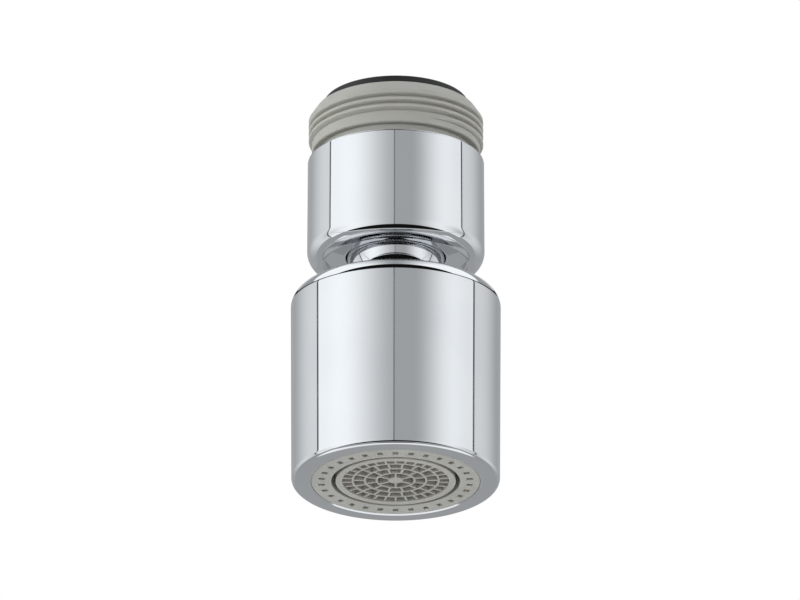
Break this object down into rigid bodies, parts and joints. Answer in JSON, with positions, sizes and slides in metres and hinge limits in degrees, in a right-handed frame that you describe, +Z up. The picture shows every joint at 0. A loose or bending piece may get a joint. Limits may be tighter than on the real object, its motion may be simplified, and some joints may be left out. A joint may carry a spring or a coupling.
{
  "type": "swivel tap aerator",
  "caption": "Swivel tap aerator: a threaded adapter and ball collar carry a round outlet head that tilts, turns and slides to change from an aerated stream to a spray.",
  "frame": {"origin": "centre of the outlet rim's flat face, on the axis", "axes": "+Z up the axis from the outlet to the tap, with no natural front: +X is the ball's tilt axis at rest"},
  "size_m": [0.0286, 0.0286, 0.056],
  "materials": {
    "chrome": "bright plated",
    "beige_plastic": "moulded, satin",
    "white_plastic": "moulded, natural",
    "black_rubber": "matte",
    "steel_mesh": "bright wire"
  },
  "bodies": {
    "collar": {"top_washer": "black_rubber", "inlet_screen": "steel_mesh", "thread_adapter": "beige_plastic", "seat_washer": "black_rubber", "swivel_collar": "chrome"},
    "seat": {"ball_seat": "white_plastic", "ball_seal": "black_rubber"},
    "stem": {"ball_stem": "chrome", "piston_clip": "steel_mesh"},
    "piston": {"diverter_piston": "white_plastic", "lower_piston_ring": "black_rubber", "upper_piston_ring": "black_rubber"},
    "head": {"outer_sleeve": "chrome", "diverter_core": "white_plastic", "core_cap": "white_plastic", "spray_plate": "beige_plastic", "aerator_housing": "beige_plastic", "lower_screen": "steel_mesh", "screen_spacer": "white_plastic", "upper_screen": "steel_mesh", "jet_plate": "white_plastic", "aerator_seal": "black_rubber"}
  },
  "joints": [
    {"name": "turn", "type": "hinge", "parent": "collar", "child": "seat", "pos_m": [0, 0, 0.03415], "axis": [0, 0, 1], "continuous": true},
    {"name": "tilt", "type": "hinge", "parent": "seat", "child": "stem", "pos_m": [0, 0, 0.03415], "axis": [1, 0, 0], "range_deg": [-20, 20]},
    {"name": "roll", "type": "hinge", "parent": "stem", "child": "piston", "pos_m": [0, 0, 0.0176], "axis": [0, 0, 1], "continuous": true},
    {"name": "flow_change", "type": "slide", "parent": "piston", "child": "head", "axis": [0, 0, 1], "range_m": [-0.004, 0]}
  ]
}
